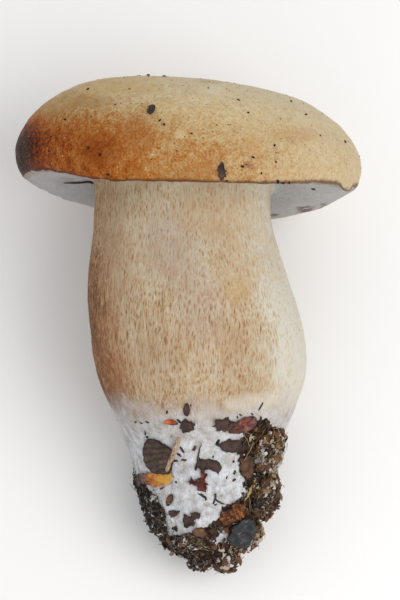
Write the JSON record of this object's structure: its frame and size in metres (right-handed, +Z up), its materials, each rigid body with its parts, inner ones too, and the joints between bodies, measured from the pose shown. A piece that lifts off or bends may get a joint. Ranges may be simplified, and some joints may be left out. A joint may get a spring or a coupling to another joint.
{
  "type": "porcini mushroom",
  "caption": "Whole porcini mushroom lying on its side, with a broad tan-brown cap, a thick pale netted stem and forest soil and leaf litter clinging to its foot.",
  "frame": {"origin": "centre of the bounding box's base, on the surface that the mushroom lies on", "axes": "+Y along the stem from the foot to the cap, +Z up from the surface, +X to the right seen from the foot"},
  "size_m": [0.1216, 0.17, 0.1065],
  "materials": {
    "flesh": "matte",
    "bark": "matte",
    "leaf": "satin",
    "straw": "matte",
    "soil": "matte",
    "slate": "satin"
  },
  "bodies": {
    "root": {"mushroom": "flesh", "bark_flake_left": "bark", "amber_bud_scale": "leaf", "dark_bud_scale_upper": "leaf", "leaf_scrap_upper": "leaf", "orange_bud_scale": "leaf", "leaf_scrap_upper_right": "leaf", "rust_leaf": "leaf", "leaf_point": "leaf", "brown_leaf_scrap": "leaf", "notched_leaf": "leaf", "curled_red_leaf": "leaf", "brown_scale_left": "leaf", "leaf_stub_left": "leaf", "bud_scales": "leaf", "slate_chip": "slate", "rotten_wood_chip": "leaf", "brown_bud": "leaf", "cap_leaf_scrap": "slate", "cap_bark_scrap": "leaf", "straw_left": "straw", "rootlet_middle": "bark", "rootlet_hook": "bark", "grass_stalk": "straw", "needle_under_cap": "bark", "soil_left": "soil", "soil_front": "soil", "soil_right_upper": "soil", "soil_right_middle": "soil", "soil_right_low": "soil", "soil_right_back": "soil", "soil_back": "soil", "soil_back_left": "soil", "clod_tip_left": "soil", "clod_tip_right": "soil"}
  },
  "joints": []
}
